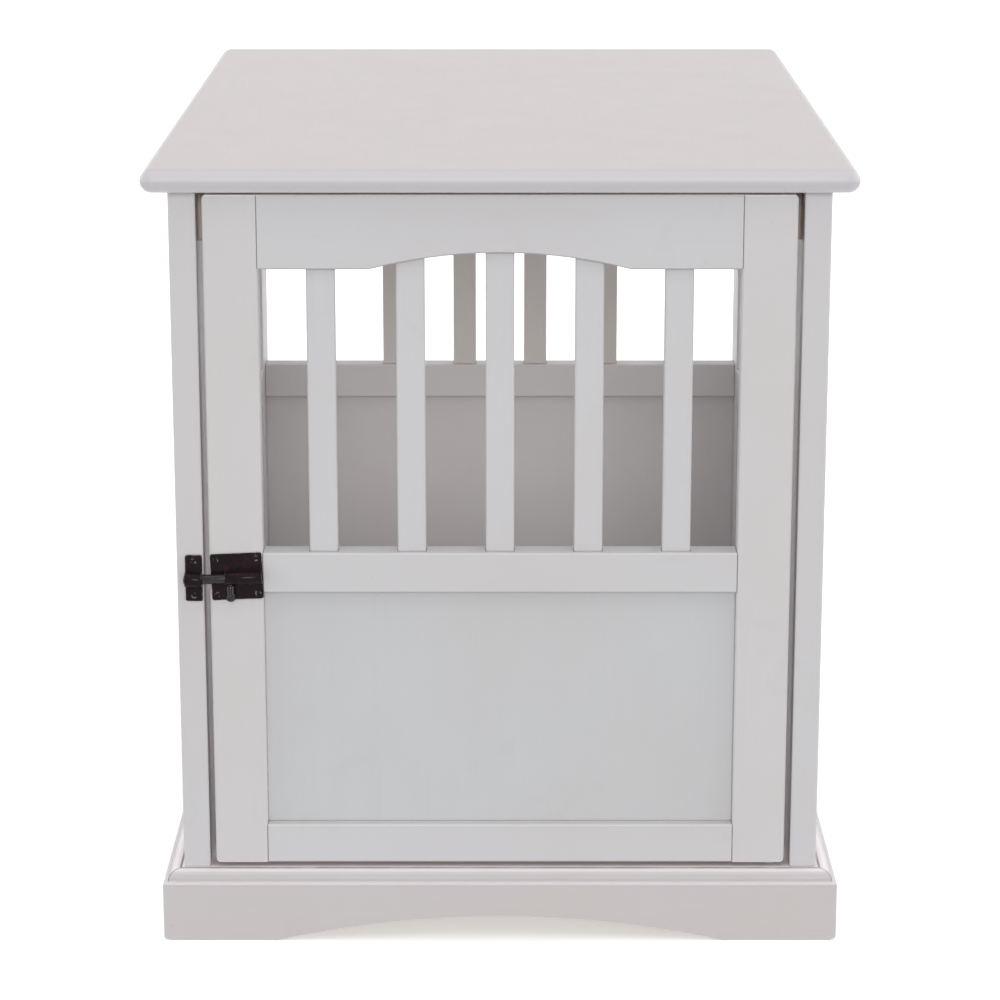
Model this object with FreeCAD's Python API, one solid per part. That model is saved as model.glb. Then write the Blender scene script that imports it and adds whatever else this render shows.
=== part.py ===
"""Dog crate end table: a slatted wooden crate with a hinged door, a moulded base and a table top.

Millimetres. The origin is the centre of the footprint on the floor, the front faces -Y, +Z is up.
Framed panels are built flat, outside face on y = 0 and inside face on y = +FRAME_THICKNESS,
and are then turned into their place.
"""
import FreeCAD
import Part

import math
import os

# Table top
TABLE_WIDTH = 444.5
TABLE_DEPTH = 609.6
TABLE_HEIGHT = 508.0
TOP_THICKNESS = 15.0
TOP_OVERHANG = 16.0
TOP_EDGE_FLAT = 0.4
TOP_CORNER_EXTRA = 0.6

# Base ring and floor
BASE_HEIGHT = 46.0
SKIRT_THICKNESS = 10.4
SKIRT_LEDGE = 3.0
SKIRT_LEDGE_DROP = 7.0
SKIRT_OVOLO_RADIUS = 6.0
SKIRT_ARRIS_BEVEL = 0.4
SKIRT_INNER_EASE = 0.5
SKIRT_FOOT_LENGTH = 74.0
FOOT_CORNER_LENGTH = 4.0
FOOT_CORNER_HEIGHT = 2.0
SKIRT_ARCH_RISE = 16.7
SKIRT_ARCH_BLEND = 4.0
FLOOR_THICKNESS = 12.0
FLOOR_REVEAL = 2.6
BEARER_SIZE = 15.0
CORNER_BLOCK_SIZE = 25.0
CORNER_BLOCK_CLEARANCE = 6.0

# Framed panels
FRAME_THICKNESS = 17.0
EDGE_EASE = 0.8
TOP_RAIL_DEPTH = 50.0
MID_RAIL_HEIGHT = 26.6
MID_RAIL_RISE = 186.6
BOTTOM_RAIL_HEIGHT = 29.2
RAIL_ARCH_RISE = 10.4
RAIL_ARCH_BLEND = 30.0
TENON_LENGTH = 10.0
TENON_THICKNESS = 6.0
TENON_HAUNCH = 1.5
PANEL_THICKNESS = 4.0
PANEL_RECESS = 7.0
PANEL_INSET = 5.5
SLAT_WIDTH = 18.0
SLAT_THICKNESS = 9.0
SLAT_HOUSING = 6.0
JOINT_FIT = 0.1

SIDE_STILE_WIDTH = 50.0
SIDE_SLAT_COUNT = 8
SIDE_ARCH_CHORD = 258.0
BACK_INSET = 16.6
BACK_SLAT_COUNT = 6
BACK_ARCH_CHORD = 204.0

# Header rail behind the door, and cleats under the top
HEADER_HEIGHT = 35.0
HEADER_THICKNESS = 17.0
CLEAT_SIZE = 15.0
CLEAT_END_GAP = 0.5

# Door
DOOR_SIDE_GAP = 4.0
DOOR_TOP_GAP = 3.0
DOOR_BOTTOM_GAP = 3.0
DOOR_STOP_GAP = 0.5
DOOR_STILE_WIDTH = 34.0
DOOR_CORNER_RADIUS = 3.0
DOOR_ARCH_CHORD = 163.0
DOOR_SLAT_COUNT = 5
DOOR_SLAT_END_GAP = 29.8

# Door pivots
PIVOT_RADIUS = 2.5
PIVOT_INSET = 9.0
PIVOT_DOOR_DEPTH = 20.0
PIVOT_TOP_DEPTH = 10.0
PIVOT_SEAT_FIT = 0.03
PIVOT_RUNNING_FIT = 0.08
PIVOT_END_GAP = 0.5
WASHER_RADIUS = 5.5
WASHER_GAP = 0.1
HEEL_CLEARANCE = 0.6

# Barrel bolt, keeper and their screws
LATCH_HEIGHT = 243.9
LATCH_TILT = 2.4
LATCH_SHEET = 1.0
LATCH_PLATE_WIDTH = 33.0
LATCH_PLATE_HEIGHT = 30.4
LATCH_PLATE_MARGIN = 0.8
BARREL_LENGTH = 23.8
BARREL_WALL = 1.1
BARREL_END_BRIDGE = 1.2
BOLT_RADIUS = 3.15
BOLT_FLOAT = 0.3
BOLT_RUNNING_FIT = 0.1
BOLT_TRAVEL = 16.0
BOLT_TIP_BEVEL = 1.0
BOLT_TIP_REACH = 1.0
BOLT_TAIL_SETBACK = 0.6
KNOB_STEM_RADIUS = 1.5
KNOB_STEM_SEAT = 1.8
KNOB_GRIP_RADIUS = 2.6
KNOB_END_RADIUS = 3.1
KNOB_END_LENGTH = 4.4
KNOB_END_BEVEL = 1.2
KNOB_LENGTH = 15.1
KNOB_COLLAR_GAP = 0.6
KEEPER_WIDTH = 10.9
KEEPER_MARGIN = 0.7
KEEPER_BORE_FIT = 0.6
LATCH_SCREW_INSET = 3.6
LATCH_SCREW_LENGTH = 7.0
LATCH_SCREW_HEAD_RADIUS = 2.0
LATCH_SCREW_RADIUS = 1.1
SHEET_CORNER_BEVEL = 0.8

# Wood screws
SCREW_HEAD_RADIUS = 3.6
SCREW_RADIUS = 1.75
SCREW_SIDES = 8
CLEAT_SCREW_LENGTH = 25.0
CLEAT_SCREWS_EACH_WAY = 3
CLEAT_SCREW_STAGGER = 30.0
CLEAT_SCREW_END = 60.0
FLOOR_SCREW_LENGTH = 32.0
FLOOR_SCREWS_PER_SIDE = 4
FLOOR_SCREW_END = 30.0

# Worked out from the sizes above
BODY_WIDTH = TABLE_WIDTH - 2 * TOP_OVERHANG
BODY_DEPTH = TABLE_DEPTH - 2 * TOP_OVERHANG
FLOOR_WIDTH = BODY_WIDTH + 2 * FLOOR_REVEAL
FLOOR_DEPTH = BODY_DEPTH + 2 * FLOOR_REVEAL
TOP_UNDERSIDE = TABLE_HEIGHT - TOP_THICKNESS
CABIN_WIDTH = BODY_WIDTH - 2 * FRAME_THICKNESS
TOP_RAIL_LINE = TOP_UNDERSIDE - TOP_RAIL_DEPTH
MID_RAIL_BOTTOM = BASE_HEIGHT + MID_RAIL_RISE
MID_RAIL_TOP = MID_RAIL_BOTTOM + MID_RAIL_HEIGHT
BOTTOM_RAIL_TOP = BASE_HEIGHT + BOTTOM_RAIL_HEIGHT
TENON_SHOULDER = PANEL_INSET + JOINT_FIT + TENON_HAUNCH
BODY_FRONT = -BODY_DEPTH / 2
CABIN_REAR = BODY_DEPTH / 2 - BACK_INSET - FRAME_THICKNESS
DOOR_WIDTH = CABIN_WIDTH - 2 * DOOR_SIDE_GAP
DOOR_BOTTOM = BASE_HEIGHT + DOOR_BOTTOM_GAP
DOOR_TOP = TOP_UNDERSIDE - DOOR_TOP_GAP
PIVOT_X = DOOR_WIDTH / 2 - PIVOT_INSET
PIVOT_Y = BODY_FRONT + FRAME_THICKNESS / 2
HEADER_FRONT = BODY_FRONT + FRAME_THICKNESS + DOOR_STOP_GAP
BOLT_STANDOFF = LATCH_SHEET + BOLT_FLOAT + BOLT_RADIUS

X_AXIS = FreeCAD.Vector(1, 0, 0)
Y_AXIS = FreeCAD.Vector(0, 1, 0)
Z_AXIS = FreeCAD.Vector(0, 0, 1)
ORIGIN = FreeCAD.Vector(0, 0, 0)


def block(x_from, x_to, y_from, y_to, z_from, z_to):
    """A plain rectangular block between two corners."""
    corner = FreeCAD.Vector(x_from, y_from, z_from)
    return Part.makeBox(x_to - x_from, y_to - y_from, z_to - z_from, corner)


def edges_along(shape, axis):
    """The straight edges of a shape that run along an axis."""
    found = []
    for edge in shape.Edges:
        first = edge.valueAt(edge.FirstParameter)
        last = edge.valueAt(edge.LastParameter)
        run = last.sub(first)
        if run.Length > 0 and abs(run.dot(axis)) > 0.999 * run.Length:
            found.append(edge)
    return found


def board(x_from, x_to, y_from, y_to, z_from, z_to, grain):
    """A board whose four long edges are eased."""
    plain = block(x_from, x_to, y_from, y_to, z_from, z_to)
    return plain.makeChamfer(EDGE_EASE, edges_along(plain, grain))


def grown(x_from, x_to, y_from, y_to, z_from, z_to, fit):
    """The pocket that takes a block with a fit on every side."""
    return block(x_from - fit, x_to + fit, y_from - fit, y_to + fit, z_from - fit, z_to + fit)


def cut_all(shape, tools):
    """A shape with each tool cut out of it."""
    return shape.cut(tools) if tools else shape


def turned(shape, degrees, offset):
    """A copy of a shape turned about the vertical through the origin, and then moved."""
    return moved(shape, FreeCAD.Placement(offset, FreeCAD.Rotation(Z_AXIS, degrees)))


def moved(shape, placement):
    """A copy of a shape carried along by a placement."""
    copy = shape.copy()
    copy.transformShape(placement.toMatrix(), True)
    return copy


# Arches: the flat lower edge lies on z = 0 and the arch rises in the middle.

def arch_radius(chord, rise):
    """Radius of the arc with a given chord and rise."""
    return ((chord / 2) ** 2 + rise ** 2) / (2 * rise)


def arch_height(x, chord, rise):
    """Height of the arched edge above the flat edge at a distance from the middle."""
    if abs(x) >= chord / 2:
        return 0.0
    radius = arch_radius(chord, rise)
    return rise - radius + math.sqrt(radius ** 2 - x ** 2)


def arched_outline(half_length, height, chord, rise, blend):
    """Upright face of a rail: straight ends and top, arched lower edge with rounded shoulders."""
    radius = arch_radius(chord, rise)
    blend_x = math.sqrt((radius + blend) ** 2 - (radius + blend - rise) ** 2)
    share = radius / (radius + blend)
    touch_x = blend_x * share
    touch_z = rise - radius + (blend - rise + radius) * share
    lean = math.atan2(blend_x - touch_x, blend - touch_z) / 2
    shoulder_x = blend_x - blend * math.sin(lean)
    shoulder_z = blend - blend * math.cos(lean)

    def point(x, z):
        return FreeCAD.Vector(x, 0, z)

    edges = [
        Part.LineSegment(point(-half_length, 0), point(-blend_x, 0)),
        Part.Arc(point(-blend_x, 0), point(-shoulder_x, shoulder_z), point(-touch_x, touch_z)),
        Part.Arc(point(-touch_x, touch_z), point(0, rise), point(touch_x, touch_z)),
        Part.Arc(point(touch_x, touch_z), point(shoulder_x, shoulder_z), point(blend_x, 0)),
        Part.LineSegment(point(blend_x, 0), point(half_length, 0)),
        Part.LineSegment(point(half_length, 0), point(half_length, height)),
        Part.LineSegment(point(half_length, height), point(-half_length, height)),
        Part.LineSegment(point(-half_length, height), point(-half_length, 0)),
    ]
    return Part.Face(Part.Wire([edge.toShape() for edge in edges]))


def arched_board(half_length, bottom, top, chord):
    """A rail with an arched lower edge and eased edges."""
    face = arched_outline(half_length, top - bottom, chord, RAIL_ARCH_RISE, RAIL_ARCH_BLEND)
    rail = face.extrude(FreeCAD.Vector(0, FRAME_THICKNESS, 0))
    ends = half_length - EDGE_EASE / 2
    outline_edges = [
        edge for edge in rail.Edges
        if edge.BoundBox.YLength < EDGE_EASE / 2 and abs(edge.CenterOfMass.x) < ends
    ]
    rail = rail.makeChamfer(EDGE_EASE, outline_edges)
    rail.translate(FreeCAD.Vector(0, 0, bottom))
    return rail


# Framed panels

def tenon_pair(half_length, bottom, top, fit):
    """The stub tenons at both ends of a rail, or with a fit the mortises that take them."""
    y_from = (FRAME_THICKNESS - TENON_THICKNESS) / 2
    y_to = y_from + TENON_THICKNESS
    z_from = bottom + TENON_SHOULDER
    z_to = top - TENON_SHOULDER
    reach = half_length + TENON_LENGTH
    return [
        grown(-reach, -half_length, y_from, y_to, z_from, z_to, fit),
        grown(half_length, reach, y_from, y_to, z_from, z_to, fit),
    ]


def with_tenons(rail, half_length, bottom, top):
    """A rail made one with its two tenons."""
    return rail.fuse(tenon_pair(half_length, bottom, top, 0.0)).removeSplitter()


def even_centres(opening, count):
    """Slat centres that leave equal gaps across an opening."""
    gap = (opening - count * SLAT_WIDTH) / (count + 1)
    first = -opening / 2 + gap + SLAT_WIDTH / 2
    return [first + index * (gap + SLAT_WIDTH) for index in range(count)]


def spread_centres(opening, end_gap, count):
    """Slat centres spread evenly between two end gaps across an opening."""
    first = -opening / 2 + end_gap + SLAT_WIDTH / 2
    pitch = -2 * first / (count - 1)
    return [first + index * pitch for index in range(count)]


def slat_limits(centre, chord):
    """Corners of a slat that stands between the mid rail and the arched top rail."""
    inner = max(abs(centre) - SLAT_WIDTH / 2, 0.0)
    y_from = (FRAME_THICKNESS - SLAT_THICKNESS) / 2
    z_from = MID_RAIL_TOP - SLAT_HOUSING
    z_to = TOP_RAIL_LINE + arch_height(inner, chord, RAIL_ARCH_RISE) + SLAT_HOUSING
    return (
        centre - SLAT_WIDTH / 2, centre + SLAT_WIDTH / 2,
        y_from, y_from + SLAT_THICKNESS,
        z_from, z_to,
    )


def panel_limits(half_opening):
    """Corners of a lower panel, with the edges that sit in the grooves."""
    return (
        -half_opening - PANEL_INSET, half_opening + PANEL_INSET,
        PANEL_RECESS, PANEL_RECESS + PANEL_THICKNESS,
        BOTTOM_RAIL_TOP - PANEL_INSET, MID_RAIL_BOTTOM + PANEL_INSET,
    )


def frame_infill(half_opening, bottom, top, chord, centres):
    """Rails, lower panel and slats of a framed panel, and the pockets that its stiles need."""
    slat_pockets = [grown(*slat_limits(centre, chord), JOINT_FIT) for centre in centres]
    panel_pocket = grown(*panel_limits(half_opening), JOINT_FIT)
    top_rail = arched_board(half_opening, TOP_RAIL_LINE, top, chord)
    mid_rail = board(-half_opening, half_opening, 0, FRAME_THICKNESS,
                     MID_RAIL_BOTTOM, MID_RAIL_TOP, X_AXIS)
    bottom_rail = board(-half_opening, half_opening, 0, FRAME_THICKNESS,
                        bottom, BOTTOM_RAIL_TOP, X_AXIS)
    rails = {
        "top_rail": (top_rail, TOP_RAIL_LINE, top, slat_pockets),
        "mid_rail": (mid_rail, MID_RAIL_BOTTOM, MID_RAIL_TOP, slat_pockets + [panel_pocket]),
        "bottom_rail": (bottom_rail, bottom, BOTTOM_RAIL_TOP, [panel_pocket]),
    }
    pieces = {"lower_panel": block(*panel_limits(half_opening))}
    stile_pockets = [panel_pocket]
    for name, (rail, rail_bottom, rail_top, pockets) in rails.items():
        rail = with_tenons(rail, half_opening, rail_bottom, rail_top)
        pieces[name] = cut_all(rail, pockets)
        stile_pockets += tenon_pair(half_opening, rail_bottom, rail_top, JOINT_FIT)
    slats = [board(*slat_limits(centre, chord), Z_AXIS) for centre in centres]
    return pieces, slats, stile_pockets


def stile_pair(width, stile_width, bottom, top):
    """The two uprights of a framed panel, at the -X end and at the +X end."""
    half = width / 2
    return (
        board(-half, stile_width - half, 0, FRAME_THICKNESS, bottom, top, Z_AXIS),
        board(half - stile_width, half, 0, FRAME_THICKNESS, bottom, top, Z_AXIS),
    )


# Screws point along +Z with the head's flat face on z = 0. Their sides are flat, not round.

def screw_ring(radius, z):
    """Corners of a regular outline about the Z axis."""
    angles = [2 * math.pi * index / SCREW_SIDES for index in range(SCREW_SIDES)]
    return [FreeCAD.Vector(radius * math.cos(a), radius * math.sin(a), z) for a in angles]


def screw(head_radius, radius, length, fit):
    """A countersunk screw, or with a fit the hole that takes it."""
    rings = [
        screw_ring(head_radius + fit, 0),
        screw_ring(radius + fit, head_radius - radius),
        screw_ring(radius + fit, length - radius),
        screw_ring(radius / 2 + fit, length + fit),
    ]
    outlines = [rings[0], rings[-1]]
    for lower, upper in zip(rings, rings[1:]):
        for index in range(SCREW_SIDES):
            outlines.append([lower[index - 1], lower[index], upper[index], upper[index - 1]])
    faces = [Part.Face(Part.makePolygon(outline + outline[:1])) for outline in outlines]
    return Part.Solid(Part.Shell(faces))


def wood_screws(places, direction, length):
    """Wood screws and their holes at a list of places, driven along a direction."""
    rotation = FreeCAD.Rotation(Z_AXIS, direction)
    placements = [FreeCAD.Placement(place, rotation) for place in places]
    solid = screw(SCREW_HEAD_RADIUS, SCREW_RADIUS, length, 0.0)
    hole = screw(SCREW_HEAD_RADIUS, SCREW_RADIUS, length, JOINT_FIT)
    return [moved(solid, spot) for spot in placements], [moved(hole, spot) for spot in placements]


# Table top and base

def top_panel():
    """The table top, with a full half-round edge and rounded plan corners."""
    edge_radius = (TOP_THICKNESS - TOP_EDGE_FLAT) / 2
    slab = block(-TABLE_WIDTH / 2, TABLE_WIDTH / 2, -TABLE_DEPTH / 2, TABLE_DEPTH / 2,
                 TOP_UNDERSIDE, TABLE_HEIGHT)
    slab = slab.makeFillet(edge_radius + TOP_CORNER_EXTRA, edges_along(slab, Z_AXIS))
    rims = [edge for edge in slab.Edges if edge.BoundBox.ZLength < TOP_EDGE_FLAT]
    return slab.makeFillet(edge_radius, rims)


def skirt_profile():
    """Section of the base moulding: inner face on x = 0, outer face on x = SKIRT_THICKNESS."""
    def point(x, z):
        return FreeCAD.Vector(x, 0, z)

    ledge_height = BASE_HEIGHT - SKIRT_LEDGE_DROP
    neck = SKIRT_THICKNESS - SKIRT_LEDGE
    ovolo_x = neck - SKIRT_OVOLO_RADIUS
    ovolo_z = BASE_HEIGHT - SKIRT_OVOLO_RADIUS
    diagonal = math.sqrt(0.5)
    arris_x = SKIRT_THICKNESS - SKIRT_ARRIS_BEVEL
    arris_z = ledge_height - SKIRT_ARRIS_BEVEL
    edges = [
        Part.LineSegment(point(0, 0), point(SKIRT_THICKNESS, 0)),
        Part.LineSegment(point(SKIRT_THICKNESS, 0), point(SKIRT_THICKNESS, arris_z)),
        Part.LineSegment(point(SKIRT_THICKNESS, arris_z), point(arris_x, ledge_height)),
        Part.LineSegment(point(arris_x, ledge_height), point(neck, ledge_height)),
        Part.LineSegment(point(neck, ledge_height), point(neck, ovolo_z)),
        Part.Arc(point(neck, ovolo_z),
                 point(ovolo_x + SKIRT_OVOLO_RADIUS * diagonal, ovolo_z + SKIRT_OVOLO_RADIUS * diagonal),
                 point(ovolo_x, BASE_HEIGHT)),
        Part.LineSegment(point(ovolo_x, BASE_HEIGHT), point(SKIRT_INNER_EASE, BASE_HEIGHT)),
        Part.LineSegment(point(SKIRT_INNER_EASE, BASE_HEIGHT), point(0, BASE_HEIGHT - SKIRT_INNER_EASE)),
        Part.LineSegment(point(0, BASE_HEIGHT - SKIRT_INNER_EASE), point(0, 0)),
    ]
    return Part.Face(Part.Wire([edge.toShape() for edge in edges]))


def foot_corner(half_outer):
    """The wedge taken off the lower outer corner of a foot, on the +X end of a skirt."""
    wedge = Part.Face(Part.makePolygon([
        FreeCAD.Vector(half_outer, 0, 0),
        FreeCAD.Vector(half_outer, 0, FOOT_CORNER_HEIGHT),
        FreeCAD.Vector(half_outer - FOOT_CORNER_LENGTH, 0, 0),
        FreeCAD.Vector(half_outer, 0, 0),
    ]))
    return wedge.extrude(FreeCAD.Vector(0, -SKIRT_THICKNESS, 0))


def skirt(inner_length):
    """One side of the base ring, mitred at both ends, its inner face on y = 0 and facing -Y."""
    half_inner = inner_length / 2
    half_outer = half_inner + SKIRT_THICKNESS
    moulding = skirt_profile()
    moulding.rotate(ORIGIN, Z_AXIS, -90)
    moulding.translate(FreeCAD.Vector(-half_outer, 0, 0))
    moulding = moulding.extrude(FreeCAD.Vector(2 * half_outer, 0, 0))
    plan = Part.Face(Part.makePolygon([
        FreeCAD.Vector(-half_inner, 0, 0),
        FreeCAD.Vector(-half_outer, -SKIRT_THICKNESS, 0),
        FreeCAD.Vector(half_outer, -SKIRT_THICKNESS, 0),
        FreeCAD.Vector(half_inner, 0, 0),
        FreeCAD.Vector(-half_inner, 0, 0),
    ]))
    mitred = moulding.common(plan.extrude(FreeCAD.Vector(0, 0, BASE_HEIGHT)))
    chord = 2 * (half_outer - SKIRT_FOOT_LENGTH)
    above = arched_outline(half_outer, BASE_HEIGHT, chord, SKIRT_ARCH_RISE, SKIRT_ARCH_BLEND)
    above = above.extrude(FreeCAD.Vector(0, -SKIRT_THICKNESS, 0))
    corner = foot_corner(half_outer)
    other_corner = corner.mirror(ORIGIN, X_AXIS)
    return mitred.common(above).cut([corner, other_corner])


def base_pieces():
    """The mitred base ring, the floor inside it and the blocks and bearers under the floor.

    The floor's edge shows as a narrow strip between the posts and the ring.
    """
    half_width = FLOOR_WIDTH / 2
    half_depth = FLOOR_DEPTH / 2
    front_and_rear = skirt(FLOOR_WIDTH)
    sides = skirt(FLOOR_DEPTH)
    underside = BASE_HEIGHT - FLOOR_THICKNESS
    corner_blocks = []
    for x_side in (-1, 1):
        for y_side in (-1, 1):
            x_outer = x_side * half_width
            y_outer = y_side * half_depth
            x_inner = x_outer - x_side * CORNER_BLOCK_SIZE
            y_inner = y_outer - y_side * CORNER_BLOCK_SIZE
            corner_blocks.append(block(
                min(x_outer, x_inner), max(x_outer, x_inner),
                min(y_outer, y_inner), max(y_outer, y_inner),
                CORNER_BLOCK_CLEARANCE, underside))
    bearer_half = half_width - CORNER_BLOCK_SIZE - JOINT_FIT
    bearers = [
        block(-bearer_half, bearer_half, -half_depth, BEARER_SIZE - half_depth,
              underside - BEARER_SIZE, underside),
        block(-bearer_half, bearer_half, half_depth - BEARER_SIZE, half_depth,
              underside - BEARER_SIZE, underside),
    ]
    return {
        "front_skirt": turned(front_and_rear, 0, FreeCAD.Vector(0, -half_depth, 0)),
        "rear_skirt": turned(front_and_rear, 180, FreeCAD.Vector(0, half_depth, 0)),
        "left_skirt": turned(sides, -90, FreeCAD.Vector(-half_width, 0, 0)),
        "right_skirt": turned(sides, 90, FreeCAD.Vector(half_width, 0, 0)),
        "floor_panel": block(-half_width, half_width, -half_depth, half_depth,
                             underside, BASE_HEIGHT),
        "corner_blocks": Part.makeCompound(corner_blocks),
        "floor_bearers": Part.makeCompound(bearers),
    }


# Side frames, back frame and header

def back_place(shape):
    """A flat framed piece turned to the back of the crate, its outside face to the rear."""
    return turned(shape, 180, FreeCAD.Vector(0, BODY_DEPTH / 2 - BACK_INSET, 0))


def header_place(shape):
    """A flat piece moved to just behind the door."""
    return turned(shape, 0, FreeCAD.Vector(0, HEADER_FRONT, 0))


def back_pieces():
    """The back frame, whose rails are tenoned straight into the side frames."""
    half_opening = CABIN_WIDTH / 2
    centres = even_centres(CABIN_WIDTH, BACK_SLAT_COUNT)
    pieces, slats, pockets = frame_infill(
        half_opening, BASE_HEIGHT, TOP_UNDERSIDE, BACK_ARCH_CHORD, centres)
    named = {"back_" + name: back_place(shape) for name, shape in pieces.items()}
    named["back_slats"] = back_place(Part.makeCompound(slats))
    return named, [back_place(pocket) for pocket in pockets]


def header_piece():
    """The rail behind the door's top rail, cut back at one end where the door's heel swings."""
    half_length = CABIN_WIDTH / 2
    bottom = TOP_UNDERSIDE - HEADER_HEIGHT
    rail = board(-half_length, half_length, 0, HEADER_THICKNESS, bottom, TOP_UNDERSIDE, X_AXIS)
    rail = header_place(with_tenons(rail, half_length, bottom, TOP_UNDERSIDE))
    heel_radius = math.hypot(PIVOT_INSET, FRAME_THICKNESS / 2)
    relief = block(PIVOT_X - heel_radius - HEEL_CLEARANCE, half_length,
                   HEADER_FRONT, PIVOT_Y + heel_radius + HEEL_CLEARANCE,
                   bottom, TOP_UNDERSIDE)
    pockets = tenon_pair(half_length, bottom, TOP_UNDERSIDE, JOINT_FIT)
    return rail.cut(relief), [header_place(pocket) for pocket in pockets]


def side_pieces(side, degrees, x_place, cross_pockets):
    """One side frame. Its front stile is the one that is turned towards -Y."""
    half_opening = BODY_DEPTH / 2 - SIDE_STILE_WIDTH
    centres = even_centres(2 * half_opening, SIDE_SLAT_COUNT)
    pieces, slats, pockets = frame_infill(
        half_opening, BASE_HEIGHT, TOP_UNDERSIDE, SIDE_ARCH_CHORD, centres)
    minus_end, plus_end = stile_pair(BODY_DEPTH, SIDE_STILE_WIDTH, BASE_HEIGHT, TOP_UNDERSIDE)
    offset = FreeCAD.Vector(x_place, 0, 0)
    named = {side + "_" + name: turned(shape, degrees, offset) for name, shape in pieces.items()}
    named[side + "_slats"] = turned(Part.makeCompound(slats), degrees, offset)
    for stile in (minus_end, plus_end):
        upright = turned(cut_all(stile, pockets), degrees, offset)
        end = "front" if upright.BoundBox.Center.y < 0 else "rear"
        named[side + "_" + end + "_stile"] = cut_all(upright, cross_pockets)
    return named


def cleat_pieces():
    """The two battens under the top, and the screws up into the top and out into the sides."""
    y_from = HEADER_FRONT + HEADER_THICKNESS + CLEAT_END_GAP
    y_to = CABIN_REAR - CLEAT_END_GAP
    z_from = TOP_UNDERSIDE - CLEAT_SIZE
    run = y_to - y_from - 2 * CLEAT_SCREW_END - CLEAT_SCREW_STAGGER
    step = run / (CLEAT_SCREWS_EACH_WAY - 1)
    cleats = []
    screws = []
    holes = []
    for x_side in (-1, 1):
        x_wall = x_side * CABIN_WIDTH / 2
        x_face = x_wall - x_side * CLEAT_SIZE
        upward = []
        outward = []
        for index in range(CLEAT_SCREWS_EACH_WAY):
            y = y_from + CLEAT_SCREW_END + index * step
            upward.append(FreeCAD.Vector((x_wall + x_face) / 2, y, z_from))
            outward.append(FreeCAD.Vector(x_face, y + CLEAT_SCREW_STAGGER, z_from + CLEAT_SIZE / 2))
        up_screws, up_holes = wood_screws(upward, Z_AXIS, CLEAT_SCREW_LENGTH)
        out_screws, out_holes = wood_screws(outward, X_AXIS * x_side, CLEAT_SCREW_LENGTH)
        screws += up_screws + out_screws
        holes += up_holes + out_holes
        cleat = block(min(x_wall, x_face), max(x_wall, x_face), y_from, y_to,
                      z_from, TOP_UNDERSIDE)
        cleats.append(cleat.cut(up_holes + out_holes))
    return Part.makeCompound(cleats), Part.makeCompound(screws), holes


def floor_screw_places():
    """Screw heads on the underside of the floor, below the bottom rails of the side frames."""
    reach = BODY_DEPTH / 2 - SIDE_STILE_WIDTH - FLOOR_SCREW_END
    step = 2 * reach / (FLOOR_SCREWS_PER_SIDE - 1)
    centre_line = (BODY_WIDTH - FRAME_THICKNESS) / 2
    underside = BASE_HEIGHT - FLOOR_THICKNESS
    return [
        FreeCAD.Vector(x_side * centre_line, index * step - reach, underside)
        for x_side in (-1, 1)
        for index in range(FLOOR_SCREWS_PER_SIDE)
    ]


# Door

def round_door_corners(stile, outer_x):
    """A door stile with its two outer corners rounded in front view."""
    tools = []
    radius = DOOR_CORNER_RADIUS
    inward = -1 if outer_x > 0 else 1
    for corner_z, up in ((DOOR_BOTTOM, 1), (DOOR_TOP, -1)):
        centre = FreeCAD.Vector(outer_x + inward * radius, 0, corner_z + up * radius)
        square = block(min(outer_x, centre.x), max(outer_x, centre.x), 0, FRAME_THICKNESS,
                       min(corner_z, centre.z), max(corner_z, centre.z))
        tools.append(square.cut(Part.makeCylinder(radius, FRAME_THICKNESS, centre, Y_AXIS)))
    return stile.cut(tools)


def pivot_pin(z_from, z_to, fit):
    """A door pivot pin, or with a fit the hole round it."""
    base = FreeCAD.Vector(PIVOT_X, PIVOT_Y, z_from)
    return Part.makeCylinder(PIVOT_RADIUS + fit, z_to - z_from, base, Z_AXIS)


def door_pieces():
    """The framed door, closed, with its pivot holes."""
    half_opening = DOOR_WIDTH / 2 - DOOR_STILE_WIDTH
    centres = spread_centres(2 * half_opening, DOOR_SLAT_END_GAP, DOOR_SLAT_COUNT)
    pieces, slats, pockets = frame_infill(
        half_opening, DOOR_BOTTOM, DOOR_TOP, DOOR_ARCH_CHORD, centres)
    latch_stile, hinge_stile = stile_pair(DOOR_WIDTH, DOOR_STILE_WIDTH, DOOR_BOTTOM, DOOR_TOP)
    pieces["latch_stile"] = round_door_corners(cut_all(latch_stile, pockets), -DOOR_WIDTH / 2)
    pieces["hinge_stile"] = round_door_corners(cut_all(hinge_stile, pockets), DOOR_WIDTH / 2)
    for number, slat in enumerate(slats, start=1):
        pieces["slat_" + str(number)] = slat
    place = FreeCAD.Vector(0, BODY_FRONT, 0)
    named = {"door_" + name: turned(shape, 0, place) for name, shape in pieces.items()}
    depth = PIVOT_DOOR_DEPTH + PIVOT_END_GAP
    named["door_hinge_stile"] = named["door_hinge_stile"].cut([
        pivot_pin(DOOR_BOTTOM, DOOR_BOTTOM + depth, PIVOT_RUNNING_FIT),
        pivot_pin(DOOR_TOP - depth, DOOR_TOP, PIVOT_RUNNING_FIT),
    ])
    return named


def pivot_pieces():
    """The two fixed pivot pins and the washer that the door turns on."""
    floor_underside = BASE_HEIGHT - FLOOR_THICKNESS
    base = FreeCAD.Vector(PIVOT_X, PIVOT_Y, BASE_HEIGHT)
    washer = Part.makeCylinder(WASHER_RADIUS, DOOR_BOTTOM_GAP - WASHER_GAP, base, Z_AXIS)
    bore = pivot_pin(BASE_HEIGHT, DOOR_BOTTOM, PIVOT_RUNNING_FIT)
    return {
        "bottom_pivot_pin": pivot_pin(floor_underside, DOOR_BOTTOM + PIVOT_DOOR_DEPTH, 0.0),
        "top_pivot_pin": pivot_pin(DOOR_TOP - PIVOT_DOOR_DEPTH, TOP_UNDERSIDE + PIVOT_TOP_DEPTH, 0.0),
        "pivot_washer": washer.cut(bore),
    }


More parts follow.
